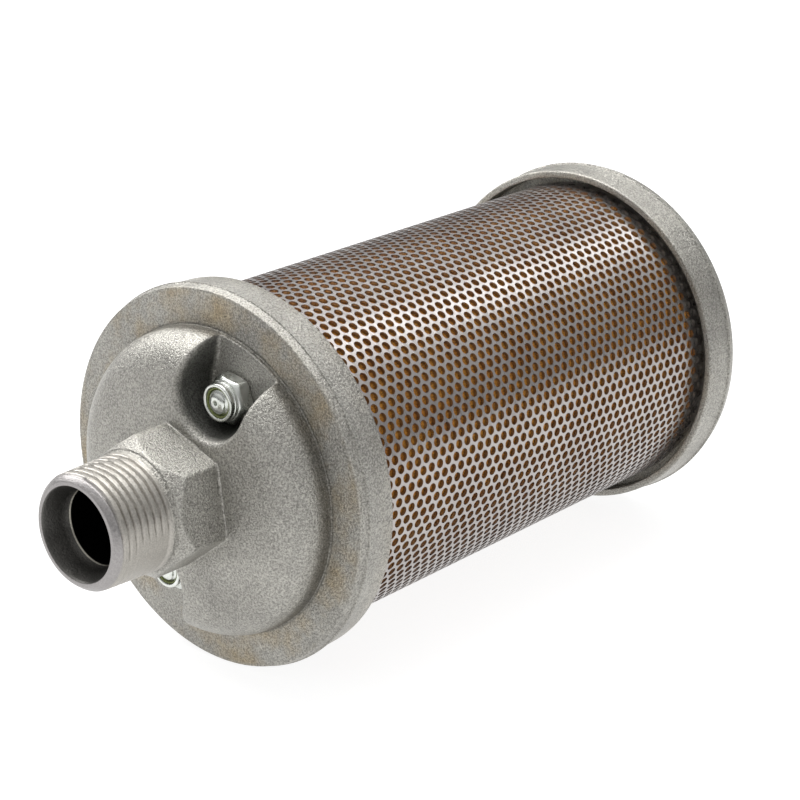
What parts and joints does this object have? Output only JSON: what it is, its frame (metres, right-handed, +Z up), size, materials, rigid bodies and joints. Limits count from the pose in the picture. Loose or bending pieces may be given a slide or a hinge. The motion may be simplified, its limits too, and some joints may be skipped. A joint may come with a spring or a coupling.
{
  "type": "pneumatic muffler",
  "caption": "Pneumatic exhaust muffler: cast threaded inlet head and end cap bolted over a perforated sleeve packed with felt round a perforated core.",
  "frame": {"origin": "centre of the inlet's mouth, on the muffler's axis", "axes": "+X along the axis from the inlet to the end cap, +Z up as the muffler lies on its two round flanges"},
  "size_m": [0.1828, 0.0888, 0.0888],
  "materials": {
    "cast_aluminium": "as-cast, shot-blasted",
    "perforated_steel": "satin",
    "core_steel": "satin",
    "felt": "dense fibrous felt",
    "zinc_steel": "bright zinc plate",
    "nylon": "moulded"
  },
  "bodies": {
    "root": {"inlet_head": "cast_aluminium", "end_cap": "cast_aluminium", "outer_sleeve": "perforated_steel", "core_tube": "core_steel", "inner_felt_wrap": "felt", "outer_felt_wrap": "felt", "bolt_washer_a": "zinc_steel", "bolt_washer_b": "zinc_steel"},
    "tie_bolt_a": {"tie_bolt_a": "zinc_steel"},
    "tie_bolt_b": {"tie_bolt_b": "zinc_steel"},
    "lock_nut_a": {"lock_nut_a": "zinc_steel", "nut_insert_a": "nylon"},
    "lock_nut_b": {"lock_nut_b": "zinc_steel", "nut_insert_b": "nylon"}
  },
  "joints": [
    {"name": "tie_bolt_a_turn", "type": "hinge", "parent": "root", "child": "tie_bolt_a", "pos_m": [0.1768, -0.00892, 0.02207], "axis": [1, 0, 0], "range_deg": [0, 1800]},
    {"name": "lock_nut_a_travel", "type": "slide", "parent": "root", "child": "lock_nut_a", "axis": [-1, 0, 0], "range_m": [0, 0.005]},
    {"name": "tie_bolt_b_turn", "type": "hinge", "parent": "root", "child": "tie_bolt_b", "pos_m": [0.1768, 0.00892, -0.02207], "axis": [1, 0, 0], "range_deg": [0, 1800]},
    {"name": "lock_nut_b_travel", "type": "slide", "parent": "root", "child": "lock_nut_b", "axis": [-1, 0, 0], "range_m": [0, 0.005]}
  ],
  "couplings": [
    {"joint": "lock_nut_a_travel", "follows": "tie_bolt_a_turn", "m_per_rad": 0.00015915},
    {"joint": "lock_nut_b_travel", "follows": "tie_bolt_b_turn", "m_per_rad": 0.00015915}
  ]
}
